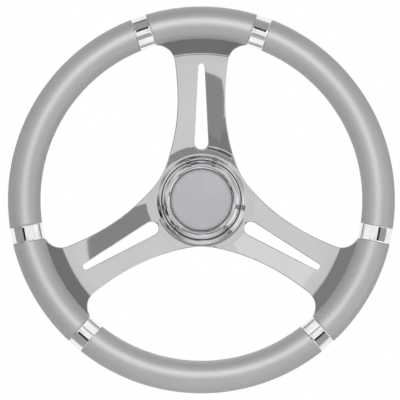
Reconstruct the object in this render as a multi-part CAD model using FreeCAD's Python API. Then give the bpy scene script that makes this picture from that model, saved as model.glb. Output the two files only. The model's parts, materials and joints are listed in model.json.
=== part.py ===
# Three-spoke boat steering wheel with a moulded grip and a push-on centre cap.
# Millimetres. The wheel turns about Y. The driver is on the -Y side, and +Z is up.
# The origin is the centre of the shaft bore in the back face of the hub.

import os

import FreeCAD, Part
from math import atan2, cos, hypot, radians, sin, sqrt, tan

# Rim
outer_diameter = 350.0
grip_diameter = 29.6
core_tube_diameter = 20.0
core_tube_wall = 1.5
grip_edge_round = 0.6

# Polished sleeves on the rim, two beside each spoke
ferrule_width = 14.5
ferrule_angle = 19.1
ferrule_edge_round = 0.4

# Stamped sheet with hub, spokes and the flange at the rim
spoke_names = ["top", "right", "left"]
sheet_thickness = 3.0
dish_depth = 35.0
crease_inset = 13.2
crease_round = 2.5
pad_height = 2.0
pad_radius = 38.9
pad_round = 2.4
hub_bend_offset = 7.6
hub_bend_round = 25.0
sheet_edge_round = 0.8
rounded_depth = 3.0
weld_gap = 0.1
flange_inset = 1.0

# Front outline of the sheet
waist_width = 43.4
waist_distance = 92.0
inner_side_round = 175.0
outer_side_round = 230.0
web_round = 60.0
end_round = 16.0

# Long slot in each spoke
slot_start = 46.3
slot_end_inset = 8.8
slot_inner_round = 6.2
slot_outer_round = 2.85

# Turned hub behind the sheet
hub_length = 33.5
boss_diameter = 38.0
boss_fillet = 3.0
hub_flange_diameter = 66.0
hub_flange_thickness = 6.0
hub_edge_chamfer = 1.0
spigot_diameter = 40.0
spigot_shortfall = 0.5
nut_recess_diameter = 34.0
nut_seat_depth = 28.0
taper_big_end = 19.05
taper_ratio = 12.0
keyway_width = 4.76
keyway_depth = 2.4

# Ring that clamps the sheet and carries the cap
clamp_ring_diameter = 66.0
clamp_ring_thickness = 5.0
clamp_ring_chamfer = 0.8
groove_width = 2.0
groove_depth = 1.4
groove_height = 1.5
o_ring_stand_out = 0.05

# Six screws under the cap
screw_count = 6
screw_circle_diameter = 53.0
screw_diameter = 5.0
screw_length = 10.5
screw_head_diameter = 8.5
screw_head_height = 2.7
screw_head_chamfer = 0.3
socket_width = 3.0
socket_depth = 1.6
hole_clearance = 0.25

# Centre cap
cap_diameter = 71.6
cap_height = 10.8
cap_foot_gap = 0.3
cap_running_clearance = 0.1
cap_skirt_wall = 1.3
cap_plate_thickness = 1.5
bezel_inner_diameter = 56.4
bezel_outer_round = 4.6
bezel_inner_round = 2.3
disc_dome_radius = 300.0
disc_edge_round = 2.8
disc_sink = 0.2

# Small gap of glued and fitted pieces
close_gap = 0.05

# Worked out from the sizes above
rim_radius = (outer_diameter - grip_diameter) / 2
grip_radius = grip_diameter / 2
tube_radius = core_tube_diameter / 2
grip_inner_edge = rim_radius - grip_radius
flange_edge_radius = rim_radius - tube_radius - weld_gap
crease_radius = grip_inner_edge - crease_inset
slot_end = crease_radius - slot_end_inset
hub_bend_radius = pad_radius + hub_bend_offset
spoke_step = 360.0 / len(spoke_names)

pad_back_y = -hub_length
pad_front_y = pad_back_y - sheet_thickness
pad_middle_y = (pad_back_y + pad_front_y) / 2
hub_middle_y = pad_middle_y + pad_height
rim_y = hub_middle_y - dish_depth
front_reach = rim_y - grip_diameter
rounded_reach = grip_inner_edge + rounded_depth

spigot_radius = spigot_diameter / 2
clamp_ring_radius = clamp_ring_diameter / 2
clamp_ring_front_y = pad_front_y - clamp_ring_thickness
screw_circle_radius = screw_circle_diameter / 2
screw_seat_y = clamp_ring_front_y + screw_head_height

cap_foot_y = pad_front_y - cap_foot_gap
cap_front_y = pad_front_y - cap_height
skirt_inner_radius = clamp_ring_radius + cap_running_clearance
skirt_outer_radius = skirt_inner_radius + cap_skirt_wall
disc_seat_y = clamp_ring_front_y - cap_plate_thickness

origin = FreeCAD.Vector(0, 0, 0)
wheel_axis = FreeCAD.Vector(0, 1, 0)


# Point of a turned section: its distance from the wheel's axis, and its place along it
def section_point(radius, y):
    return FreeCAD.Vector(radius, y, 0)


# Point of the wheel's front outline
def front_point(x, z):
    return FreeCAD.Vector(x, 0, z)


def mirrored(point):
    return front_point(-point.x, point.z)


# Point at a distance from the start, towards the goal or past it
def toward(start, goal, distance):
    run = goal - start
    run.normalize()
    return start + run * distance


def line(start, end):
    return Part.LineSegment(start, end).toShape()


# The shorter arc round a centre from one point to another
def arc_about(centre, start, end):
    middle = toward(centre, (start + end) / 2, (start - centre).Length)
    return Part.Arc(start, middle, end).toShape()


def face_within(edges):
    return Part.Face(Part.Wire(Part.__sortEdges__(edges)))


# Solid turned about the wheel's axis from a closed section
def turned(edges):
    return face_within(edges).revolve(origin, wheel_axis, 360)


def turned_polygon(points):
    return turned([line(a, b) for a, b in zip(points, points[1:] + points[:1])])


# Copy turned about the wheel's axis, clockwise as the driver sees it
def about_axis(shape, angle):
    copy = shape.copy()
    copy.rotate(origin, wheel_axis, angle)
    return copy


def cylinder(radius, back_y, front_y, x=0.0, z=0.0):
    return Part.makeCylinder(radius, back_y - front_y, FreeCAD.Vector(x, front_y, z), wheel_axis)


# A flat front outline made into a prism that reaches past the wheel on both sides
def through_prism(face):
    prism = face.copy()
    prism.translate(FreeCAD.Vector(0, front_reach, 0))
    return prism.extrude(FreeCAD.Vector(0, -front_reach, 0))


# Closed section of a bent sheet whose middle line follows the corners
def sheet_section(corners, rounds, thickness):
    edges = []
    sides = [thickness / 2, -thickness / 2]
    pens = []
    for shift in sides:
        run = toward(origin, corners[1] - corners[0], 1)
        pens.append(corners[0] + FreeCAD.Vector(-run.y, run.x, 0) * shift)
    edges.append(line(pens[0], pens[1]))
    for before, corner, after, bend in zip(corners, corners[1:], corners[2:], rounds):
        enter = toward(origin, corner - before, 1)
        leave = toward(origin, after - corner, 1)
        turn = atan2(enter.x * leave.y - enter.y * leave.x, enter.dot(leave))
        reach = bend * tan(abs(turn) / 2)
        inward = bend if turn > 0 else -bend
        enter_normal = FreeCAD.Vector(-enter.y, enter.x, 0)
        leave_normal = FreeCAD.Vector(-leave.y, leave.x, 0)
        centre = corner - enter * reach + enter_normal * inward
        for i, shift in enumerate(sides):
            start = corner - enter * reach + enter_normal * shift
            end = corner + leave * reach + leave_normal * shift
            edges.append(line(pens[i], start))
            edges.append(arc_about(centre, start, end))
            pens[i] = end
    ends = []
    for i, shift in enumerate(sides):
        run = toward(origin, corners[-1] - corners[-2], 1)
        ends.append(corners[-1] + FreeCAD.Vector(-run.y, run.x, 0) * shift)
        edges.append(line(pens[i], ends[i]))
    edges.append(line(ends[0], ends[1]))
    return edges


# Where two circles cross, on the left of the way from the first centre to the second
def crossing(first, first_radius, second, second_radius):
    span = (second - first).Length
    along = (first_radius ** 2 - second_radius ** 2 + span ** 2) / (2 * span)
    aside = sqrt(first_radius ** 2 - along ** 2)
    run = toward(origin, second - first, 1)
    return first + run * along + front_point(-run.z, run.x) * aside


# Front outline of the sheet: spokes with a waist, joined at the hub by round webs
def star_face():
    waist = front_point(waist_width / 2, waist_distance)
    inner_centre = front_point(waist.x + inner_side_round, waist.z)
    outer_centre = front_point(waist.x + outer_side_round, waist.z)

    # The web's arc between two spokes touches the side arcs of both.
    half_step = radians(spoke_step / 2)
    web_way = front_point(sin(half_step), cos(half_step))
    abreast = inner_centre.dot(web_way)
    spread = (inner_side_round - web_round) ** 2 - inner_centre.Length ** 2
    web_centre = web_way * (abreast - sqrt(abreast ** 2 + spread))
    web_start = toward(inner_centre, web_centre, inner_side_round)
    web_end = web_way * (2 * web_start.dot(web_way)) - web_start

    # The fillet at the rim touches the side arc and a circle just inside the grip.
    meet_radius = grip_inner_edge + sheet_edge_round / 2
    end_centre = crossing(origin, meet_radius - end_round, outer_centre, outer_side_round - end_round)
    end_start = toward(outer_centre, end_centre, outer_side_round)
    end_stop = toward(origin, end_centre, meet_radius)
    tip = toward(origin, end_centre, flange_edge_radius)

    right_side = [
        arc_about(inner_centre, web_start, waist),
        arc_about(outer_centre, waist, end_start),
        arc_about(end_centre, end_start, end_stop),
        line(end_stop, tip),
    ]
    left_side = [edge.mirror(origin, FreeCAD.Vector(1, 0, 0)) for edge in right_side]
    joins = [arc_about(web_centre, web_start, web_end), arc_about(origin, tip, mirrored(tip))]
    edges = []
    for k in range(len(spoke_names)):
        edges += [about_axis(edge, k * spoke_step) for edge in right_side + left_side + joins]
    return face_within(edges)


# Slot of the top spoke: two round ends joined by lines that touch both
def slot_face():
    inner = front_point(0, slot_start + slot_inner_round)
    outer = front_point(0, slot_end - slot_outer_round)
    lean = (slot_inner_round - slot_outer_round) / (outer.z - inner.z)
    sideways = front_point(sqrt(1 - lean ** 2), lean)
    inner_side = inner + sideways * slot_inner_round
    outer_side = outer + sideways * slot_outer_round
    return face_within([
        line(inner_side, outer_side),
        Part.Arc(outer_side, front_point(0, slot_end), mirrored(outer_side)).toShape(),
        line(mirrored(outer_side), mirrored(inner_side)),
        Part.Arc(mirrored(inner_side), front_point(0, slot_start), inner_side).toShape(),
    ])


# Flat-sided slab across the rim, square to its centre line
def rim_slab(angle, width):
    reach = 2 * grip_diameter
    slab = Part.makeBox(width, reach, reach)
    slab.translate(FreeCAD.Vector(-width / 2, rim_y - reach / 2, rim_radius - reach / 2))
    return about_axis(slab, angle)


# Stretch of the rim's round section outside the core tube, from one angle to another
def rim_stretch(start_angle, end_angle):
    centre = FreeCAD.Vector(0, rim_y, rim_radius)
    across = FreeCAD.Vector(1, 0, 0)
    outside = Part.Wire(Part.makeCircle(grip_radius, centre, across))
    inside = Part.Wire(Part.makeCircle(tube_radius + close_gap, centre, across))
    section = Part.Face(outside).cut(Part.Face(inside))
    solid = section.revolve(origin, wheel_axis, end_angle - start_angle)
    return about_axis(solid.Solids[0], start_angle)


# The outer edges of a rim piece's flat ends: those furthest from the rim's centre line
def rim_end_edges(piece):
    found = []
    for edge in piece.Edges:
        middle = edge.valueAt((edge.FirstParameter + edge.LastParameter) / 2)
        from_centre_line = hypot(hypot(middle.x, middle.z) - rim_radius, middle.y - rim_y)
        flat_sides = [f for f in piece.ancestorsOfType(edge, Part.Face) if f.Surface.TypeId == "Part::GeomPlane"]
        if len(flat_sides) == 1 and from_centre_line > (grip_radius + tube_radius) / 2:
            found.append(edge)
    return found


def spoke_ferrule_angles(k):
    return [k * spoke_step - ferrule_angle, k * spoke_step + ferrule_angle]


def screw_places():
    angles = [radians(360.0 * (i + 0.5) / screw_count) for i in range(screw_count)]
    return [(screw_circle_radius * sin(a), screw_circle_radius * cos(a)) for a in angles]


# Edges where the sheet's front and back meet its cut outline, from the hub to a little way into the grip
def sheet_outline_edges(plate):
    found = []
    for edge in plate.Edges:
        middle = edge.valueAt((edge.FirstParameter + edge.LastParameter) / 2)
        distance = hypot(middle.x, middle.z)
        upright = []
        for face in plate.ancestorsOfType(edge, Part.Face):
            u_start, u_end, v_start, v_end = face.ParameterRange
            normal = face.normalAt((u_start + u_end) / 2, (v_start + v_end) / 2)
            upright.append(abs(normal.y) < 1e-6)
        if sorted(upright) == [False, True] and pad_radius < distance < rounded_reach:
            found.append(edge)
    return found


def make_spoke_plate():
    shoulder_half = pad_height / 2
    corners = [
        section_point(spigot_radius + close_gap, pad_middle_y),
        section_point(pad_radius - shoulder_half, pad_middle_y),
        section_point(pad_radius + shoulder_half, hub_middle_y),
        section_point(hub_bend_radius, hub_middle_y),
        section_point(crease_radius, rim_y),
        section_point(flange_edge_radius, rim_y),
    ]
    rounds = [pad_round, pad_round, hub_bend_round, crease_round]
    sheet = turned(sheet_section(corners, rounds, sheet_thickness))
    plate = sheet.common(through_prism(star_face()))
    slot = through_prism(slot_face())
    for k in range(len(spoke_names)):
        plate = plate.cut(about_axis(slot, k * spoke_step))
        for angle in spoke_ferrule_angles(k):
            plate = plate.cut(rim_slab(angle, ferrule_width + 2 * flange_inset))
    plate = plate.makeFillet(sheet_edge_round, sheet_outline_edges(plate))
    for x, z in screw_places():
        plate = plate.cut(cylinder(screw_diameter / 2 + hole_clearance, pad_back_y, pad_front_y, x, z))
    return plate


def make_rim_tube():
    centre = FreeCAD.Vector(0, rim_y, 0)
    outside = Part.makeTorus(rim_radius, tube_radius, centre, wheel_axis)
    inside = Part.makeTorus(rim_radius, tube_radius - core_tube_wall, centre, wheel_axis)
    return outside.cut(inside)


def make_ferrule(angle):
    swing = spoke_step / 8
    ferrule = rim_stretch(angle - swing, angle + swing).common(rim_slab(angle, ferrule_width))
    return ferrule.makeFillet(ferrule_edge_round, rim_end_edges(ferrule))


# Moulded grip between two ferrules
def make_grip(start_angle, end_angle):
    grip = rim_stretch(start_angle, end_angle)
    for angle in (start_angle, end_angle):
        grip = grip.cut(rim_slab(angle, ferrule_width))
    return grip.makeFillet(grip_edge_round, rim_end_edges(grip))


def make_hub_boss():
    boss_radius = boss_diameter / 2
    flange_radius = hub_flange_diameter / 2
    flange_back_y = pad_back_y + hub_flange_thickness
    spigot_front_y = clamp_ring_front_y + spigot_shortfall
    recess_radius = nut_recess_diameter / 2
    big_radius = taper_big_end / 2
    small_radius = big_radius - nut_seat_depth / (2 * taper_ratio)
    outline = [
        section_point(small_radius, -nut_seat_depth),
        section_point(big_radius, 0),
        section_point(boss_radius - hub_edge_chamfer, 0),
        section_point(boss_radius, -hub_edge_chamfer),
        section_point(boss_radius, flange_back_y + boss_fillet),
        section_point(boss_radius + boss_fillet, flange_back_y),
        section_point(flange_radius - hub_edge_chamfer, flange_back_y),
        section_point(flange_radius, flange_back_y - hub_edge_chamfer),
        section_point(flange_radius, pad_back_y),
        section_point(spigot_radius, pad_back_y),
        section_point(spigot_radius, spigot_front_y),
        section_point(recess_radius, spigot_front_y),
        section_point(recess_radius, -nut_seat_depth),
    ]
    edges = [line(a, b) for a, b in zip(outline, outline[1:] + outline[:1])]
    fillet_start, fillet_end = outline[4], outline[5]
    fillet_centre = section_point(fillet_end.x, fillet_start.y)
    edges[4] = arc_about(fillet_centre, fillet_start, fillet_end)
    boss = turned(edges)
    keyway_top = big_radius + keyway_depth
    keyway = Part.makeBox(keyway_width, nut_seat_depth, keyway_top)
    keyway.translate(FreeCAD.Vector(-keyway_width / 2, -nut_seat_depth, 0))
    boss = boss.cut(keyway)
    for x, z in screw_places():
        boss = boss.cut(cylinder(screw_diameter / 2 + close_gap, flange_back_y, pad_back_y, x, z))
    return boss


def make_clamp_ring():
    groove_centre_y = pad_front_y - groove_height
    groove_back_y = groove_centre_y + groove_width / 2
    groove_front_y = groove_centre_y - groove_width / 2
    ring = turned_polygon([
        section_point(spigot_radius + close_gap, pad_front_y),
        section_point(clamp_ring_radius, pad_front_y),
        section_point(clamp_ring_radius, groove_back_y),
        section_point(clamp_ring_radius - groove_depth, groove_back_y),
        section_point(clamp_ring_radius - groove_depth, groove_front_y),
        section_point(clamp_ring_radius, groove_front_y),
        section_point(clamp_ring_radius, clamp_ring_front_y + clamp_ring_chamfer),
        section_point(clamp_ring_radius - clamp_ring_chamfer, clamp_ring_front_y),
        section_point(spigot_radius + close_gap, clamp_ring_front_y),
    ])
    for x, z in screw_places():
        ring = ring.cut(cylinder(screw_diameter / 2 + hole_clearance, pad_front_y, clamp_ring_front_y, x, z))
        ring = ring.cut(cylinder(screw_head_diameter / 2 + hole_clearance, screw_seat_y, clamp_ring_front_y, x, z))
    return ring


def make_cap_o_ring():
    section_radius = (groove_depth + o_ring_stand_out - close_gap) / 2
    ring_radius = clamp_ring_radius + o_ring_stand_out - section_radius
    centre = FreeCAD.Vector(0, pad_front_y - groove_height, 0)
    return Part.makeTorus(ring_radius, section_radius, centre, wheel_axis)


# One low-headed screw with a hexagon socket, along the wheel's axis
def make_screw():
    head_radius = screw_head_diameter / 2
    head_front_y = screw_seat_y - screw_head_height
    screw = turned_polygon([
        section_point(0, screw_seat_y + screw_length),
        section_point(screw_diameter / 2 - screw_head_chamfer, screw_seat_y + screw_length),
        section_point(screw_diameter / 2, screw_seat_y + screw_length - screw_head_chamfer),
        section_point(screw_diameter / 2, screw_seat_y),
        section_point(head_radius, screw_seat_y),
        section_point(head_radius, head_front_y + screw_head_chamfer),
        section_point(head_radius - screw_head_chamfer, head_front_y),
        section_point(0, head_front_y),
    ])
    corner_radius = socket_width / (2 * cos(radians(30)))
    corners = [
        FreeCAD.Vector(corner_radius * sin(radians(60 * i)), head_front_y, corner_radius * cos(radians(60 * i)))
        for i in range(7)
    ]
    socket = Part.Face(Part.makePolygon(corners)).extrude(FreeCAD.Vector(0, socket_depth, 0))
    return screw.cut(socket)


def make_hub_screws():
    screws = []
    for x, z in screw_places():
        screw = make_screw()
        screw.translate(FreeCAD.Vector(x, 0, z))
        screws.append(screw)
    return Part.makeCompound(screws)


def make_cap_body():
    return turned_polygon([
        section_point(0, clamp_ring_front_y),
        section_point(skirt_inner_radius, clamp_ring_front_y),
        section_point(skirt_inner_radius, cap_foot_y),
        section_point(skirt_outer_radius, cap_foot_y),
        section_point(skirt_outer_radius, disc_seat_y),
        section_point(0, disc_seat_y),
    ])


def make_cap_bezel():
    outer_radius = cap_diameter / 2
    inner_radius = bezel_inner_diameter / 2
    wall_radius = skirt_outer_radius + close_gap
    outer_centre = section_point(outer_radius - bezel_outer_round, cap_front_y + bezel_outer_round)
    inner_centre = section_point(inner_radius + bezel_inner_round, cap_front_y + bezel_inner_round)
    shoulder = section_point(outer_radius, outer_centre.y)
    crown_outer = section_point(outer_centre.x, cap_front_y)
    crown_inner = section_point(inner_centre.x, cap_front_y)
    lip = section_point(inner_radius, inner_centre.y)
    outline = [
        lip,
        section_point(inner_radius, disc_seat_y),
        section_point(wall_radius, disc_seat_y),
        section_point(wall_radius, cap_foot_y),
        section_point(outer_radius, cap_foot_y),
        shoulder,
    ]
    edges = [line(a, b) for a, b in zip(outline, outline[1:])]
    edges.append(arc_about(outer_centre, shoulder, crown_outer))
    edges.append(line(crown_outer, crown_inner))
    edges.append(arc_about(inner_centre, crown_inner, lip))
    return turned(edges)


# Domed disc whose rounded edge runs smoothly into the dome
def make_cap_disc():
    radius = bezel_inner_diameter / 2 - close_gap
    top = section_point(0, cap_front_y + disc_sink)
    dome_centre = section_point(0, top.y + disc_dome_radius)
    edge_x = radius - disc_edge_round
    edge_drop = sqrt((disc_dome_radius - disc_edge_round) ** 2 - edge_x ** 2)
    edge_centre = section_point(edge_x, dome_centre.y - edge_drop)
    meet = toward(dome_centre, edge_centre, disc_dome_radius)
    rim = section_point(radius, edge_centre.y)
    return turned([
        arc_about(dome_centre, top, meet),
        arc_about(edge_centre, meet, rim),
        line(rim, section_point(radius, disc_seat_y)),
        line(section_point(radius, disc_seat_y), section_point(0, disc_seat_y)),
        line(section_point(0, disc_seat_y), top),
    ])


def make_pieces():
    plate = make_spoke_plate()
    pieces = {
        "spoke_plate": plate,
        "rim_tube": make_rim_tube(),
        "hub_boss": make_hub_boss(),
        "clamp_ring": make_clamp_ring(),
        "hub_screws": make_hub_screws(),
        "cap_o_ring": make_cap_o_ring(),
        "cap_body": make_cap_body(),
        "cap_bezel": make_cap_bezel(),
        "cap_disc": make_cap_disc(),
    }
    ferrule_sides = {"top": ["left", "right"], "right": ["upper", "lower"], "left": ["lower", "upper"]}
    long_grip_names = {"top": "right", "right": "bottom", "left": "left"}
    for k, spoke in enumerate(spoke_names):
        before, after = spoke_ferrule_angles(k)
        next_ferrule = before + spoke_step
        for side, angle in zip(ferrule_sides[spoke], (before, after)):
            pieces["ferrule_" + spoke + "_" + side] = make_ferrule(angle)
        pieces["spoke_grip_" + spoke] = make_grip(before, after).cut(plate)
        pieces["long_grip_" + long_grip_names[spoke]] = make_grip(after, next_ferrule)
    return pieces


os.makedirs("parts", exist_ok=True)
for name, piece in make_pieces().items():
    piece.exportStep("parts/" + name + ".step")
    print(name, len(piece.Solids), "solid", round(piece.Volume, 1), "mm3", "valid" if piece.isValid() else "NOT VALID")
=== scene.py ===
# Looks of a polished boat steering wheel on the fixed frame: grips, sleeves, spoke plate, centre cap,
# finishes, studio and camera.
# Metres. The wheel turns about Y, the driver is on the -Y side and +Z is up.
# Azimuths are degrees round the wheel as the driver sees it, clockwise from the top.

import bpy
import json
import math
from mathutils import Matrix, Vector


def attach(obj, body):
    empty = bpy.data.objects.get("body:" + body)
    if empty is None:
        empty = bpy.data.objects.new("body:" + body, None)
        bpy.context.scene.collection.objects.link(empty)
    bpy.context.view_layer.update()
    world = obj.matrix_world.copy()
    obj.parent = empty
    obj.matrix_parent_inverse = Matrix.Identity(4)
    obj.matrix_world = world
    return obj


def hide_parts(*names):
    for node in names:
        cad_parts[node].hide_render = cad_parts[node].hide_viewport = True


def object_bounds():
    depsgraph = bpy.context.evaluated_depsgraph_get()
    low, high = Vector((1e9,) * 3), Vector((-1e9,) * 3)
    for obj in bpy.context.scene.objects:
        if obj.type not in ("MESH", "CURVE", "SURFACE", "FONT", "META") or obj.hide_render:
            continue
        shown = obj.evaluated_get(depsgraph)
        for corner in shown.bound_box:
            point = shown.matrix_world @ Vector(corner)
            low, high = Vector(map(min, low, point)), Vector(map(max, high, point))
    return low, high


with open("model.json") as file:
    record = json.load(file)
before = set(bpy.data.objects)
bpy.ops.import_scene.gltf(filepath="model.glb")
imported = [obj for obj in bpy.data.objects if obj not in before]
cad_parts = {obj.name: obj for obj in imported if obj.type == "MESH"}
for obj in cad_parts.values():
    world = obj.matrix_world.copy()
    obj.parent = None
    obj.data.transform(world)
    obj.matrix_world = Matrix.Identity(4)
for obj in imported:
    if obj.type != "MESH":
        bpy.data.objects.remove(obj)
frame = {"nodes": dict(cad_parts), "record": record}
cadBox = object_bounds()
nodes = frame["nodes"]
record = frame["record"]
nodeBody = {node: body for body, members in record["behaviour"]["bodies"].items() for node in members}
spokeAzimuths = {"top": 0, "right": 120, "left": 240}
print("frame loaded:", len(nodes), "nodes")


# Drawing and picking, in distances far smaller than any detail
drawing = {
    "startSize": 0.001,
    "samePoint": 0.00001,
    "samePlace": 0.000004,
    "mergeSpun": 0.000005,
    "mergeCopied": 0.000001,
    "smoothBelow": 35,     # degrees between faces, above which an edge stays sharp
    "polishBelow": 40,
}


# Point at a distance from the wheel's axis
def polarPoint(azimuth, radius, y):
    angle = math.radians(azimuth)
    return Vector((radius * math.sin(angle), y, radius * math.cos(angle)))


def editAll(piece):
    if bpy.context.mode != "OBJECT":
        bpy.ops.object.mode_set(mode="OBJECT")
    bpy.ops.object.select_all(action="DESELECT")
    piece.select_set(True)
    bpy.context.view_layer.objects.active = piece
    bpy.ops.object.mode_set(mode="EDIT")
    bpy.ops.mesh.select_all(action="SELECT")


# Selects the vertices that a test picks, and the edges or faces between them, ready for the next tool
def editWhere(piece, picks, kind="VERT"):
    editAll(piece)
    bpy.ops.mesh.select_mode(type="VERT")
    bpy.ops.mesh.select_all(action="DESELECT")
    bpy.ops.object.mode_set(mode="OBJECT")
    for vertex in piece.data.vertices:
        vertex.select = picks(vertex.co)
    bpy.ops.object.mode_set(mode="EDIT")
    bpy.ops.mesh.select_mode(type=kind)


def leaveEdit():
    bpy.ops.object.mode_set(mode="OBJECT")


# Corners are (distance from the axis, y, round). The line through them is drawn point by point, its corners
# are rounded, and it is spun about Y.
def spinSection(name, corners, steps, turn=360, azimuth=0, roundSteps=8):
    bpy.ops.object.select_all(action="DESELECT")
    bpy.ops.mesh.primitive_plane_add(size=drawing["startSize"])
    piece = bpy.context.object
    piece.name = name
    places = [polarPoint(azimuth, radius, y) for radius, y, rounding in corners]
    editAll(piece)
    bpy.ops.mesh.select_mode(type="VERT")
    bpy.ops.mesh.merge(type="CENTER")
    bpy.ops.transform.translate(value=places[0])
    for before, after in zip(places, places[1:]):
        bpy.ops.mesh.extrude_region_move(TRANSFORM_OT_translate={"value": after - before})
    for i in range(1, len(corners) - 1):
        if corners[i][2]:
            turnHere = (places[i] - places[i - 1]).angle(places[i + 1] - places[i])
            offset = corners[i][2] * math.tan(turnHere / 2)
            editWhere(piece, lambda co: (co - places[i]).length < drawing["samePoint"])
            bpy.ops.mesh.bevel(offset=offset, segments=roundSteps, affect="VERTICES")
    bpy.ops.mesh.select_all(action="SELECT")
    bpy.ops.mesh.spin(steps=steps, angle=-math.radians(turn), center=(0, 0, 0), axis=(0, 1, 0))
    bpy.ops.mesh.select_all(action="SELECT")
    bpy.ops.mesh.remove_doubles(threshold=drawing["mergeSpun"])
    bpy.ops.mesh.normals_make_consistent(inside=False)
    leaveEdit()
    return piece


def smoothPiece(piece, degrees=drawing["smoothBelow"]):
    bpy.ops.object.select_all(action="DESELECT")
    piece.select_set(True)
    bpy.context.view_layer.objects.active = piece
    bpy.ops.object.shade_smooth_by_angle(angle=math.radians(degrees))


# Takes the place of a CAD node, on that node's body and in its finish's slot
def standFor(piece, node, material):
    piece.name = "shown_" + node
    piece.data.materials.clear()
    piece.data.materials.append(material)
    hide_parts(node)
    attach(piece, nodeBody[node])


# Node and material helpers

def startMaterial(name):
    material = bpy.data.materials.new(name)
    material.use_nodes = True
    return material, material.node_tree, material.node_tree.nodes["Principled BSDF"]


def addNode(tree, kind, **settings):
    node = tree.nodes.new(kind)
    for key, value in settings.items():
        setattr(node, key, value)
    return node


def objectCoords(tree):
    return addNode(tree, "ShaderNodeTexCoord").outputs["Object"]


def addNoise(tree, vector, scale, detail=2.0):
    noise = addNode(tree, "ShaderNodeTexNoise")
    noise.inputs["Scale"].default_value = scale
    noise.inputs["Detail"].default_value = detail
    tree.links.new(vector, noise.inputs["Vector"])
    return noise.outputs["Fac"]


def spread(tree, value, low, high, fromLow=0.3, fromHigh=0.7):
    ramp = addNode(tree, "ShaderNodeMapRange")
    for socket, number in (("From Min", fromLow), ("From Max", fromHigh), ("To Min", low), ("To Max", high)):
        ramp.inputs[socket].default_value = number
    tree.links.new(value, ramp.inputs["Value"])
    return ramp.outputs["Result"]


def twoTone(tree, value, dark, light):
    mix = addNode(tree, "ShaderNodeMix", data_type="RGBA")
    mix.inputs["A"].default_value = (*dark, 1)
    mix.inputs["B"].default_value = (*light, 1)
    tree.links.new(value, mix.inputs["Factor"])
    return mix.outputs["Result"]


def addBump(tree, shader, height, distance):
    bump = addNode(tree, "ShaderNodeBump")
    bump.inputs["Distance"].default_value = distance
    tree.links.new(height, bump.inputs["Height"])
    tree.links.new(bump.outputs["Normal"], shader.inputs["Normal"])


def dress(material, *names):
    for name in names:
        nodes[name].data.materials.clear()
        nodes[name].data.materials.append(material)


# Grips: moulded silver grey polyurethane with a fine parting line inside and outside

grips = {
    "rimRadius": 0.1602,
    "tubeRadius": 0.01479,
    "rimY": -0.068,
    "turnSteps": 360,
    "sectionSteps": 48,
    "sleeveAzimuth": 19.1,     # from the spoke's middle to the sleeve's
    "sleeveHalf": 0.00725,
    "endGap": 0.00006,
    "endRound": 0.0006,
    "endRoundSteps": 4,
    "lineWidth": 0.00050,
    "lineDepth": 0.00010,
    "dark": (0.339, 0.338, 0.345),
    "light": (0.363, 0.362, 0.369),
    "cloudScale": 9,
    "metallic": 0.28,
    "roughness": (0.43, 0.49),
    "specular": 0.35,
    "grain": 0.00035,
    "grainHeight": 0.000004,
}


def makeGripFinish():
    material, tree, shader = startMaterial("gripPolyurethane")
    coords = objectCoords(tree)
    clouds = addNoise(tree, coords, grips["cloudScale"], detail=3)
    grain = addNoise(tree, coords, 1 / grips["grain"])
    base = twoTone(tree, spread(tree, clouds, 0, 1), grips["dark"], grips["light"])
    tree.links.new(base, shader.inputs["Base Color"])
    tree.links.new(spread(tree, grain, *grips["roughness"]), shader.inputs["Roughness"])
    shader.inputs["Metallic"].default_value = grips["metallic"]
    shader.inputs["Specular IOR Level"].default_value = grips["specular"]
    addBump(tree, shader, grain, grips["grainHeight"])
    return material


def addRimRing(name, turnSteps, sectionSteps):
    bpy.ops.object.select_all(action="DESELECT")
    bpy.ops.mesh.primitive_torus_add(major_radius=grips["rimRadius"], minor_radius=grips["tubeRadius"],
                                     major_segments=turnSteps, minor_segments=sectionSteps,
                                     location=(0, grips["rimY"], 0), rotation=(math.radians(90), 0, 0))
    ring = bpy.context.object
    ring.name = name
    bpy.ops.object.transform_apply(location=True, rotation=True, scale=True)
    return ring


# Fine groove where the two halves of the mould meet, round the outside or the inside of the rim
def cutPartingLine(ring, side):
    radius = grips["rimRadius"] + side * grips["tubeRadius"]

    def onLine(co):
        near = drawing["samePlace"]
        return abs(math.hypot(co.x, co.z) - radius) < near and abs(co.y - grips["rimY"]) < near

    editWhere(ring, onLine, "EDGE")
    bpy.ops.mesh.bevel(offset=grips["lineWidth"] / 2, segments=2, affect="EDGES")
    editWhere(ring, onLine)
    scale = (radius - side * grips["lineDepth"]) / radius
    bpy.ops.transform.resize(value=(scale, 1, scale), center_override=(0, grips["rimY"], 0))
    leaveEdit()


# Cuts the ring square across at a sleeve's side and closes the cut. It keeps what lies clockwise of the cut
# where keep is 1, and the rest where it is -1.
def cutRim(ring, sleeveAzimuth, offset, keep):
    along = polarPoint(sleeveAzimuth + 90, 1, 0)
    editAll(ring)
    bpy.ops.mesh.bisect(plane_co=along * offset, plane_no=along * -keep, clear_outer=True, use_fill=True)
    leaveEdit()


# Rounds the two flat ends of a stretch of the rim
def roundEnds(stretch, cuts):
    planes = [(polarPoint(azimuth + 90, 1, 0), offset) for azimuth, offset in cuts]

    def onCut(co):
        return any(abs(co.dot(along) - offset) < drawing["samePlace"] for along, offset in planes)

    editWhere(stretch, onCut, "FACE")
    bpy.ops.mesh.region_to_loop()
    bpy.ops.mesh.bevel(offset=grips["endRound"], segments=grips["endRoundSteps"], affect="EDGES")
    leaveEdit()


def makeGrip(name, fromSleeve, toSleeve):
    grip = addRimRing(name, grips["turnSteps"], grips["sectionSteps"])
    cutPartingLine(grip, 1)
    cutPartingLine(grip, -1)
    reach = grips["sleeveHalf"] + grips["endGap"]
    cutRim(grip, fromSleeve, reach, 1)
    cutRim(grip, toSleeve, -reach, -1)
    roundEnds(grip, [(fromSleeve, reach), (toSleeve, -reach)])
    smoothPiece(grip)
    return grip


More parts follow.
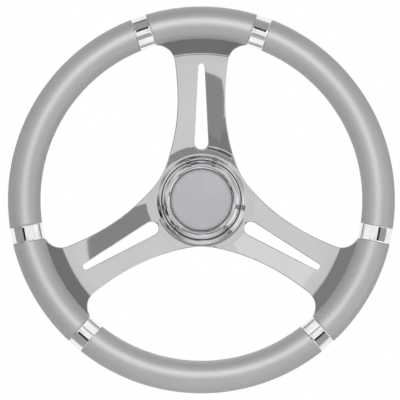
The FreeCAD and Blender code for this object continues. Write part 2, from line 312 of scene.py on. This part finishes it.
# Own copy of a piece, turned about the wheel's axis
def turnedCopy(piece, azimuth):
    bpy.ops.object.select_all(action="DESELECT")
    piece.select_set(True)
    bpy.context.view_layer.objects.active = piece
    bpy.ops.object.duplicate(linked=False)
    copy = bpy.context.object
    copy.rotation_euler.y = math.radians(azimuth)
    bpy.ops.object.transform_apply(location=False, rotation=True, scale=False)
    return copy


gripFinish = makeGripFinish()
sleeve = grips["sleeveAzimuth"]
shortGrip = makeGrip("shortGrip", -sleeve, sleeve)
longGrip = makeGrip("longGrip", sleeve, spokeAzimuths["right"] - sleeve)
for spoke, longName in (("right", "bottom"), ("left", "left"), ("top", "right")):
    azimuth = spokeAzimuths[spoke]
    standFor(turnedCopy(shortGrip, azimuth) if azimuth else shortGrip, "spoke_grip_" + spoke, gripFinish)
    standFor(turnedCopy(longGrip, azimuth) if azimuth else longGrip, "long_grip_" + longName, gripFinish)
print("grips done")


# Sleeves: six alike, mirror polished

sleeves = {
    "turnSteps": 256,
    "sectionSteps": 128,
    "dark": (0.85, 0.85, 0.86),
    "light": (0.88, 0.88, 0.89),
    "roughness": (0.03, 0.05),
    "cloudScale": 40,
}
plateFinish = {
    "dark": (0.565, 0.563, 0.570),
    "light": (0.590, 0.588, 0.594),
    "roughness": (0.02, 0.035),
    "cloudScale": 25,
}
chromeFinish = {
    "dark": (0.57, 0.57, 0.58),
    "light": (0.60, 0.60, 0.61),
    "roughness": (0.02, 0.04),
    "cloudScale": 60,
}


def makePolishedSteel(name, finish):
    material, tree, shader = startMaterial(name)
    coords = objectCoords(tree)
    clouds = addNoise(tree, coords, finish["cloudScale"], detail=4)
    base = twoTone(tree, spread(tree, clouds, 0, 1), finish["dark"], finish["light"])
    tree.links.new(base, shader.inputs["Base Color"])
    tree.links.new(spread(tree, clouds, *finish["roughness"]), shader.inputs["Roughness"])
    shader.inputs["Metallic"].default_value = 1.0
    return material


# Normals that follow the large faces, so that a small round doesn't bend the mirror beside it
def weighNormals(piece):
    smoothPiece(piece, drawing["polishBelow"])
    bpy.ops.object.modifier_add(type="WEIGHTED_NORMAL")
    bpy.ops.object.modifier_apply(modifier=piece.modifiers[0].name)


def makeSleeve():
    ring = addRimRing("sleeve", sleeves["turnSteps"], sleeves["sectionSteps"])
    editAll(ring)
    bpy.ops.mesh.bisect(plane_co=(0, 0, 0), plane_no=polarPoint(sleeve, 1, 0), clear_inner=True)
    leaveEdit()
    cutRim(ring, sleeve, -grips["sleeveHalf"], 1)
    cutRim(ring, sleeve, grips["sleeveHalf"], -1)
    roundEnds(ring, [(sleeve, -grips["sleeveHalf"]), (sleeve, grips["sleeveHalf"])])
    weighNormals(ring)
    return ring


sleeveFinish = makePolishedSteel("polishedSleeve", sleeves)
# How far each sleeve is turned from the one on the right of the top spoke
sleeveTurns = {
    "ferrule_top_right": spokeAzimuths["top"],
    "ferrule_right_upper": spokeAzimuths["right"] - 2 * sleeve,
    "ferrule_right_lower": spokeAzimuths["right"],
    "ferrule_left_lower": spokeAzimuths["left"] - 2 * sleeve,
    "ferrule_left_upper": spokeAzimuths["left"],
    "ferrule_top_left": spokeAzimuths["top"] - 2 * sleeve,
}
firstSleeve = makeSleeve()
for node, azimuth in reversed(sleeveTurns.items()):
    standFor(turnedCopy(firstSleeve, azimuth) if azimuth else firstSleeve, node, sleeveFinish)
print("sleeves done")


# Spoke plate: the CAD sheet, with its mirror normals taken from a finely spun sheet of the same section

plate = {
    "thickness": 0.003,
    "corners": [(0.0185, -0.035, 0), (0.0379, -0.035, 0.0024), (0.0399, -0.033, 0.0024),
                (0.0465, -0.033, 0.025), (0.1322, -0.068, 0.0008), (0.1530, -0.068, 0)],
    "guideSteps": 360,
    "guideRoundSteps": 16,
    "reach": 0.00005,     # how near the spun sheet a corner of the plate has to be
}


def mergedCopy(node):
    bpy.ops.object.select_all(action="DESELECT")
    nodes[node].select_set(True)
    bpy.context.view_layer.objects.active = nodes[node]
    bpy.ops.object.duplicate(linked=False)
    copy = bpy.context.object
    editAll(copy)
    bpy.ops.mesh.remove_doubles(threshold=drawing["mergeCopied"])
    leaveEdit()
    bpy.ops.mesh.customdata_custom_splitnormals_clear()
    return copy


def makePlate():
    guide = spinSection("plateGuide", plate["corners"], steps=plate["guideSteps"],
                        roundSteps=plate["guideRoundSteps"])
    bpy.ops.object.modifier_add(type="SOLIDIFY")
    wall = guide.modifiers[0]
    wall.thickness = plate["thickness"]
    wall.offset = 0
    wall.use_even_offset = True
    bpy.ops.object.modifier_apply(modifier=wall.name)
    smoothPiece(guide)
    sheet = mergedCopy("spoke_plate")
    smoothPiece(sheet)
    bpy.ops.object.modifier_add(type="DATA_TRANSFER")
    carry = sheet.modifiers[0]
    carry.object = guide
    carry.use_loop_data = True
    carry.data_types_loops = {"CUSTOM_NORMAL"}
    carry.loop_mapping = "POLYINTERP_NEAREST"
    carry.use_max_distance = True
    carry.max_distance = plate["reach"]
    bpy.ops.object.modifier_apply(modifier=carry.name)
    bpy.data.objects.remove(guide)
    return sheet


standFor(makePlate(), "spoke_plate", makePolishedSteel("polishedSheet", plateFinish))
print("plate done")


# Centre cap: half-round chromed bezel, satin domed disc, and a thin black ring under the bezel that paints
# the shade in the gap between the cap and the plate

cap = {
    "innerRadius": 0.0282,
    "outerRadius": 0.0358,
    "wallRadius": 0.03445,
    "frontY": -0.0473,
    "seatY": -0.0430,
    "footY": -0.0368,
    "innerRound": 0.0026,
    "outerRound": 0.0049,
    "footRound": 0.0003,
    "sectionSteps": 256,
    "roundSteps": 16,
    "discRadius": 0.02815,
    "discFrontY": -0.0471,
    "domeRadius": 0.300,
    "discRound": 0.0038,
    "discRoundShare": 0.96,     # the dome's slope leaves a little less than the full round
    # Thin black ring under the bezel's foot: painted shade for the dark gap between the cap and the plate
    "shadeRingRadius": 0.0369,
    "shadeRingInner": 0.0350,
    "shadeRingFrontY": -0.0374,
    "shadeRingBackY": -0.0366,
    "shadeRingRound": 0.0003,
    "shadeRingRoundSteps": 4,
    "shadeRingGap": 0.00005,
    "shadeRingInset": 0.0001,
    "tiny": 0.0000001,
}
discFinish = {
    "dark": (0.328, 0.323, 0.346),
    "light": (0.350, 0.345, 0.370),
    "cloudScale": 30,
    "grainScale": 4000,
    "grainHeight": 0.000004,
    "roughness": (0.55, 0.60),
}
turnedFinish = {
    "ringScale": 700,
    "ringWander": 1.5,
    "ringHeight": 0.00001,
    "dark": (0.46, 0.46, 0.465),
    "light": (0.56, 0.56, 0.565),
    "roughness": (0.22, 0.34),
}
# Black rubber for the cap's O-ring, also used as painted gap shade on the black ring under the bezel
rubberAndGapShadeFinish = {
    "dark": (0.015, 0.015, 0.015),
    "light": (0.025, 0.025, 0.025),
    "roughness": (0.6, 0.7),
    "grainScale": 900,
    "grainHeight": 0.00002,
}
plasticFinish = {
    "dark": (0.02, 0.02, 0.02),
    "light": (0.035, 0.035, 0.035),
    "roughness": (0.45, 0.55),
    "grainScale": 900,
    "grainHeight": 0.00002,
}


def makeBezel():
    inner, outer, wall = cap["innerRadius"], cap["outerRadius"], cap["wallRadius"]
    front, seat, foot = cap["frontY"], cap["seatY"], cap["footY"]
    # The bezel's foot steps in over the black ring of painted gap shade
    overShadeRing = cap["shadeRingFrontY"] - cap["shadeRingGap"]
    inShadeRing = cap["shadeRingInner"] - cap["shadeRingInset"]
    bezel = spinSection("bezel", [
        (wall, seat, 0), (inner, seat, 0), (inner, front, cap["innerRound"]),
        (outer, front, cap["outerRound"]), (outer, overShadeRing, cap["footRound"]), (inShadeRing, overShadeRing, 0),
        (inShadeRing, foot, 0), (wall, foot, 0), (wall, seat, 0)],
        steps=cap["sectionSteps"], roundSteps=cap["roundSteps"])
    weighNormals(bezel)
    return bezel


# The dome's round starts in the middle, so its corner is half way out along the flat top.
def makeDisc():
    radius, top, dome = cap["discRadius"], cap["discFrontY"], cap["domeRadius"]
    slope = math.asin((radius - cap["discRound"]) / dome)
    domeCorner = dome * math.tan(slope / 2) + cap["tiny"]
    edgeDrop = (radius - domeCorner) * math.tan(slope)
    disc = spinSection("disc", [
        (0, top, 0), (domeCorner, top, dome),
        (radius, top + edgeDrop, cap["discRound"] * cap["discRoundShare"]),
        (radius, cap["seatY"], 0), (0, cap["seatY"], 0)],
        steps=cap["sectionSteps"], roundSteps=cap["roundSteps"])
    weighNormals(disc)
    return disc


# Black ring under the bezel: painted shade for the gap round the cap's foot, not a real seal
def makeGapShadeRing():
    inner, outer = cap["shadeRingInner"], cap["shadeRingRadius"]
    front, back = cap["shadeRingFrontY"], cap["shadeRingBackY"]
    gapShadeRing = spinSection("paintedGapShade", [
        (inner, front, 0), (outer, front, cap["shadeRingRound"]), (outer, back, cap["shadeRingRound"]),
        (inner, back, 0), (inner, front, 0)],
        steps=cap["sectionSteps"], roundSteps=cap["shadeRingRoundSteps"])
    weighNormals(gapShadeRing)
    return gapShadeRing


def makeDiscFinish():
    material, tree, shader = startMaterial("satinDisc")
    coords = objectCoords(tree)
    clouds = addNoise(tree, coords, discFinish["cloudScale"], detail=3)
    grain = addNoise(tree, coords, discFinish["grainScale"])
    base = twoTone(tree, spread(tree, clouds, 0, 1), discFinish["dark"], discFinish["light"])
    tree.links.new(base, shader.inputs["Base Color"])
    tree.links.new(spread(tree, grain, *discFinish["roughness"]), shader.inputs["Roughness"])
    addBump(tree, shader, grain, discFinish["grainHeight"])
    return material


# Turned steel with fine rings round the wheel's axis
def makeTurnedSteel():
    material, tree, shader = startMaterial("turnedSteel")
    rings = addNode(tree, "ShaderNodeTexWave", wave_type="RINGS", rings_direction="Y")
    rings.inputs["Scale"].default_value = turnedFinish["ringScale"]
    rings.inputs["Distortion"].default_value = turnedFinish["ringWander"]
    tree.links.new(objectCoords(tree), rings.inputs["Vector"])
    base = twoTone(tree, rings.outputs["Fac"], turnedFinish["dark"], turnedFinish["light"])
    tree.links.new(base, shader.inputs["Base Color"])
    roughness = spread(tree, rings.outputs["Fac"], *turnedFinish["roughness"], 0, 1)
    tree.links.new(roughness, shader.inputs["Roughness"])
    shader.inputs["Metallic"].default_value = 1.0
    addBump(tree, shader, rings.outputs["Fac"], turnedFinish["ringHeight"])
    return material


def makeBlackFinish(name, finish):
    material, tree, shader = startMaterial(name)
    grain = addNoise(tree, objectCoords(tree), finish["grainScale"], detail=3)
    base = twoTone(tree, spread(tree, grain, 0, 1), finish["dark"], finish["light"])
    tree.links.new(base, shader.inputs["Base Color"])
    tree.links.new(spread(tree, grain, *finish["roughness"]), shader.inputs["Roughness"])
    addBump(tree, shader, grain, finish["grainHeight"])
    return material


blackRubberAndGapShade = makeBlackFinish("blackRubberAndGapShade", rubberAndGapShadeFinish)
standFor(makeBezel(), "cap_bezel", makePolishedSteel("chromedBezel", chromeFinish))
standFor(makeDisc(), "cap_disc", makeDiscFinish())
# The black ring paints the shade in the gap round the cap's foot; the same black rubber finish dresses the
# real O-ring
gapShadeRing = makeGapShadeRing()
gapShadeRing.data.materials.append(blackRubberAndGapShade)
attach(gapShadeRing, "cap")
dress(makeTurnedSteel(), "hub_boss", "clamp_ring", "hub_screws", "rim_tube")
dress(makeBlackFinish("blackPlastic", plasticFinish), "cap_body")
dress(blackRubberAndGapShade, "cap_o_ring")
print("cap and finishes done")


# Studio: pale floor, white surroundings, soft lamps in front and behind, and cards that shiny pieces show

studio = {
    "floorZ": -0.55,
    "floorBack": 5.0,
    "floorSize": 16.0,
    "floorColor": (0.86, 0.86, 0.86),
    "floorRoughness": 0.8,
    "floorFade": (1.2, 4.0),     # distances over which the floor turns white
    "skyLight": 0.34,
    "lampDistance": 2.0,
    "keySize": 1.1,
    "keyElevation": 16,
    "keyPower": 30.0,
    "backSize": 1.4,
    "backElevation": 40,
    "backPower": 30.0,
    "cardStep": 4,     # degrees
    "cardSteps": 6,    # at least
}
# Flat cards: name, y, inner and outer radius, azimuth of the middle, half of the angle, brightness
flatCards = [
    ("lampCard", -0.602, 0.0, 0.34, 0, 180, 0.95),
    ("lampCardTop", -0.602, 0.34, 0.47, 0, 22, 0.95),
    ("flangeCardTop", -0.598, 0.146, 0.182, 0, 18, 0.24),
    ("flangeCardRight", -0.598, 0.146, 0.182, 120, 18, 0.333),
    ("flangeCardLeft", -0.598, 0.146, 0.182, 240, 18, 0.27),
    ("topFlagLow", -0.601, 0.44, 0.56, 198, 18, 0.32),
    ("topFlagSide", -0.601, 0.418, 0.44, 204.5, 11.5, 0.40),
    ("topStreak", -0.60, 0.20, 0.34, 207, 8, 0.16),
    ("topStreakNear", -0.60, 0.20, 0.32, 191, 8, 0.20),
    ("rightGlow", -0.60, 0.345, 0.56, 312, 12, 1.14),
    ("lowerBow", -0.30, 0.004, 0.058, 180, 65, 0.42),
    ("upperBow", -0.60, 0.0, 0.177, 179, 35.5, 0.40),
    ("upperBowLeft", -0.60, 0.177, 0.325, 157.75, 14.25, 0.40),
    ("upperBowOuter", -0.60, 0.325, 0.385, 155.25, 11.75, 0.55),
]
# Dark flags that the spokes show: azimuth where each starts, inner and outer radius, swing about the first
# corner, brightness, and two points of the edge that cuts it off, as azimuth past the start and radius
flags = {
    "topFlag": (180, 0.3525, 0.44, 9, 0.40, (9.95, 0.3661), (14.4, 0.4104)),
    "leftFlag": (60, 0.3525, 0.425, 9, 0.39, (10.67, 0.3634), (15.35, 0.4067)),
    "leftFlagLow": (60, 0.425, 0.56, 0, 0.39, (15.35, 0.4067), (24.1, 0.4489)),
}
flagShape = {"y": -0.60, "half": 15}
# Screen that stands all round the studio: distance from the axis and y of its two edges, and its tones, each
# an azimuth and a brightness. Mostly the bezel shows it.
screen = {
    "front": (0.47, -0.60),
    "back": (0.54, -0.05),
    "brightest": 1.6,
    "tones": [
        (0, 0.34), (14, 0.44), (28, 0.50), (41, 1.05), (58, 0.66), (76, 0.85), (88, 1.45),
        (95, 1.45), (101, 0.90), (107, 1.45), (128, 1.45), (142, 0.62), (161, 1.00), (172, 1.25),
        (188, 1.25), (199, 1.05), (212, 0.50), (224, 0.40), (233, 0.12), (241, 0.85), (247, 0.05),
        (255.5, 0.03), (257, 0.35), (261.5, 0.35), (263, 0.03), (271, 0.40), (281, 1.05), (298, 0.42),
        (319, 1.00), (330, 0.30), (350, 0.16), (360, 0.34),
    ],
}
# What each sleeve shows beyond its white half: distance from the axis and y of both edges, brightness
sleeveCards = {
    "sleeveLine": ((0.28, -0.598), (0.437, -0.598), 0.03),
    "sleeveShade": ((0.437, -0.598), (0.53, -0.14), 0.36),
}
sleeveCardHalf = 3.4


def makeEmission(name, strength):
    material = bpy.data.materials.new(name)
    material.use_nodes = True
    tree = material.node_tree
    tree.nodes.clear()
    emission = addNode(tree, "ShaderNodeEmission")
    emission.inputs["Strength"].default_value = strength
    output = addNode(tree, "ShaderNodeOutputMaterial")
    tree.links.new(emission.outputs[0], output.inputs["Surface"])
    return material


# Stretch of a ring between two points of its section, seen only in reflections
def addCard(name, start, end, azimuth, half, strength):
    steps = max(studio["cardSteps"], int(2 * half / studio["cardStep"]))
    card = spinSection(name, [(*start, 0), (*end, 0)], steps=steps, turn=2 * half, azimuth=azimuth - half)
    card.data.materials.append(makeEmission(name, strength))
    card.visible_camera = False
    card.visible_diffuse = False
    card.visible_transmission = False
    card.visible_shadow = False
    return card


# Screen all the way round, with its tone blended from one azimuth to the next
def addScreen():
    card = addCard("screen", screen["front"], screen["back"], 180, 180, screen["brightest"])
    tree = card.data.materials[0].node_tree
    split = addNode(tree, "ShaderNodeSeparateXYZ")
    angle = addNode(tree, "ShaderNodeMath", operation="ARCTAN2")
    tree.links.new(objectCoords(tree), split.inputs["Vector"])
    tree.links.new(split.outputs["X"], angle.inputs[0])
    tree.links.new(split.outputs["Z"], angle.inputs[1])
    turn = addNode(tree, "ShaderNodeMath", operation="WRAP")
    turn.inputs[1].default_value = 2 * math.pi
    turn.inputs[2].default_value = 0
    tree.links.new(angle.outputs["Value"], turn.inputs[0])
    ramp = addNode(tree, "ShaderNodeValToRGB")
    tree.links.new(spread(tree, turn.outputs["Value"], 0, 1, 0, 2 * math.pi), ramp.inputs["Fac"])
    stops = ramp.color_ramp.elements
    for azimuth, _ in screen["tones"][1:-1]:
        stops.new(azimuth / 360)
    for stop, (azimuth, tone) in zip(stops, screen["tones"]):
        stop.color = (*[tone / screen["brightest"]] * 3, 1)
    tree.links.new(ramp.outputs["Color"], tree.nodes["Emission"].inputs["Color"])


# A card swung about its first corner, with its far side cut off along a straight edge
def addFlag(name, start, innerRadius, outerRadius, swing, strength, *edge):
    y, half = flagShape["y"], flagShape["half"]
    flag = addCard(name, (innerRadius, y), (outerRadius, y), start + half, half, strength)
    editAll(flag)
    bpy.ops.transform.rotate(value=math.radians(swing), orient_axis="Y",
                             center_override=polarPoint(start, innerRadius, y))
    near, far = (polarPoint(start + azimuth, radius, y) for azimuth, radius in edge)
    bpy.ops.mesh.bisect(plane_co=near, plane_no=(far - near).cross(Vector((0, 1, 0))), clear_inner=True)
    leaveEdit()


for name, y, innerRadius, outerRadius, azimuth, half, strength in flatCards:
    addCard(name, (innerRadius, y), (outerRadius, y), azimuth, half, strength)
addScreen()
for name, values in flags.items():
    addFlag(name, *values)
for node, turnHere in sleeveTurns.items():
    for name, (front, back, strength) in sleeveCards.items():
        addCard(name + "_" + node, front, back, sleeve + turnHere, sleeveCardHalf, strength)


# White for the camera and for mirrors, and the plain light level for everything else
def addWhiteRays(tree):
    path = addNode(tree, "ShaderNodeLightPath")
    either = addNode(tree, "ShaderNodeMath", operation="MAXIMUM")
    seen = addNode(tree, "ShaderNodeMath", operation="MAXIMUM")
    tree.links.new(path.outputs["Is Glossy Ray"], either.inputs[0])
    tree.links.new(path.outputs["Is Transmission Ray"], either.inputs[1])
    tree.links.new(either.outputs[0], seen.inputs[0])
    return path.outputs["Is Camera Ray"], seen


def makeWorld():
    world = bpy.data.worlds.new("studioWorld")
    bpy.context.scene.world = world
    world.use_nodes = True
    tree = world.node_tree
    tree.nodes.clear()
    cameraRay, seen = addWhiteRays(tree)
    tree.links.new(cameraRay, seen.inputs[1])
    light = addNode(tree, "ShaderNodeBackground")
    light.inputs["Strength"].default_value = studio["skyLight"]
    white = addNode(tree, "ShaderNodeBackground")
    for background in (light, white):
        background.inputs["Color"].default_value = (1, 1, 1, 1)
    mix = addNode(tree, "ShaderNodeMixShader")
    tree.links.new(seen.outputs[0], mix.inputs[0])
    tree.links.new(light.outputs[0], mix.inputs[1])
    tree.links.new(white.outputs[0], mix.inputs[2])
    output = addNode(tree, "ShaderNodeOutputWorld")
    tree.links.new(mix.outputs[0], output.inputs["Surface"])


# The floor keeps the wheel's shadow. Further off the camera sees it turn white, as the surroundings are.
def makeFloor():
    bpy.ops.object.select_all(action="DESELECT")
    centreY = studio["floorBack"] - studio["floorSize"] / 2
    bpy.ops.mesh.primitive_plane_add(size=studio["floorSize"], location=(0, centreY, studio["floorZ"]))
    floor = bpy.context.object
    floor.name = "floor"
    material, tree, shader = startMaterial("paleFloor")
    shader.inputs["Base Color"].default_value = (*studio["floorColor"], 1)
    shader.inputs["Roughness"].default_value = studio["floorRoughness"]
    geometry = addNode(tree, "ShaderNodeNewGeometry")
    distance = addNode(tree, "ShaderNodeVectorMath", operation="LENGTH")
    tree.links.new(geometry.outputs["Position"], distance.inputs[0])
    fade = spread(tree, distance.outputs["Value"], 0, 1, *studio["floorFade"])
    cameraRay, seen = addWhiteRays(tree)
    cameraFade = addNode(tree, "ShaderNodeMath", operation="MULTIPLY")
    tree.links.new(fade, cameraFade.inputs[0])
    tree.links.new(cameraRay, cameraFade.inputs[1])
    tree.links.new(cameraFade.outputs[0], seen.inputs[1])
    white = addNode(tree, "ShaderNodeEmission")
    mix = addNode(tree, "ShaderNodeMixShader")
    tree.links.new(seen.outputs[0], mix.inputs[0])
    tree.links.new(shader.outputs[0], mix.inputs[1])
    tree.links.new(white.outputs[0], mix.inputs[2])
    tree.links.new(mix.outputs[0], tree.nodes["Material Output"].inputs["Surface"])
    floor.data.materials.append(material)


def addSoftbox(name, size, power, place, target):
    data = bpy.data.lights.new(name, "AREA")
    data.shape = "DISK"
    data.size = size
    data.energy = power
    lamp = bpy.data.objects.new(name, data)
    bpy.context.scene.collection.objects.link(lamp)
    lamp.location = place
    lamp.rotation_euler = (target - place).to_track_quat("-Z", "Y").to_euler()
    return lamp


# Place of a lamp in front of the rim's middle, or behind it with side 1
def lampPlace(elevation, side):
    lift = math.radians(elevation)
    return rimCentre + Vector((0, side * math.cos(lift), math.sin(lift))) * studio["lampDistance"]


makeWorld()
makeFloor()
rimCentre = Vector((0, grips["rimY"], 0))
keyPlace = lampPlace(studio["keyElevation"], -1)
addSoftbox("keySoftbox", studio["keySize"], studio["keyPower"], keyPlace, rimCentre)
backPlace = lampPlace(studio["backElevation"], 1)
backLamp = addSoftbox("backSoftbox", studio["backSize"], studio["backPower"], backPlace, rimCentre)
backLamp.visible_camera = False
backLamp.visible_glossy = False
print("studio done")


# Camera straight in front, the wheel's outside 387 of the picture's 400 pixels wide

view = {
    "lens": 300,
    "sensor": 36,
    "outsidePixels": 387,
    "picturePixels": 400,
    "centrePixel": (201.4, 199.9),
    "clipEnd": 50,
}


def makeCamera():
    data = bpy.data.cameras.new("camera")
    data.lens = view["lens"]
    data.sensor_width = view["sensor"]
    wheelWidth = cadBox[1].x - cadBox[0].x
    pixel = wheelWidth / view["outsidePixels"]
    distance = data.lens * pixel * view["picturePixels"] / data.sensor_width
    camera = bpy.data.objects.new("camera", data)
    bpy.context.scene.collection.objects.link(camera)
    half = view["picturePixels"] / 2
    camera.location = (-(view["centrePixel"][0] - half) * pixel, rimCentre.y - distance,
                       (view["centrePixel"][1] - half) * pixel)
    camera.rotation_euler = (math.radians(90), 0, 0)
    data.clip_end = view["clipEnd"]
    bpy.context.scene.camera = camera


makeCamera()
bpy.context.scene.view_settings.view_transform = "Standard"
print("camera done")
